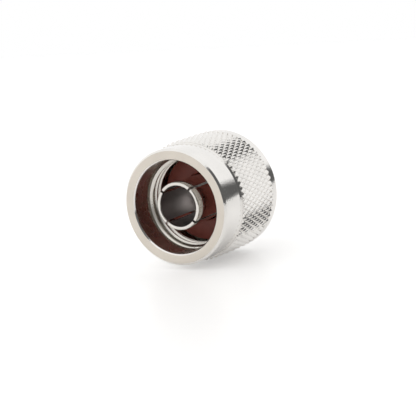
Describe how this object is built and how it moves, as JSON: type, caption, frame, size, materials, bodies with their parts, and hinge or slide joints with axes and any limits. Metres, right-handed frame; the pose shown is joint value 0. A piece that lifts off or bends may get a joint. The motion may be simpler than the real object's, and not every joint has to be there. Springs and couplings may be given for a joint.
{
  "type": "n type coaxial plug",
  "caption": "Coaxial plug with a knurled coupling nut that spins on a turned shell, a slotted outer contact, a red gasket and a crimp neck.",
  "frame": {"origin": "centre of the crimp neck's rear end, which the part stands on", "axes": "+Z along the connector's axis, from the cable towards the mating side; a slot of the outer contact lies 42 degrees from +X"},
  "size_m": [0.0208, 0.0208, 0.025],
  "materials": {
    "nickel_nut": "nickel plated",
    "nickel_shell": "nickel plated",
    "nickel_contact": "nickel plated",
    "silicone": "smooth",
    "spring_metal": "satin",
    "ptfe": "satin"
  },
  "bodies": {
    "plug_shell": {"shell": "nickel_shell", "outer_contact": "nickel_contact", "gasket": "silicone", "retaining_ring": "spring_metal", "insulator": "ptfe"},
    "nut": {"coupling_nut": "nickel_nut"}
  },
  "joints": [
    {"name": "nut_spin", "type": "hinge", "parent": "plug_shell", "child": "nut", "pos_m": [0, 0, 0.0102], "axis": [0, 0, 1], "continuous": true}
  ]
}
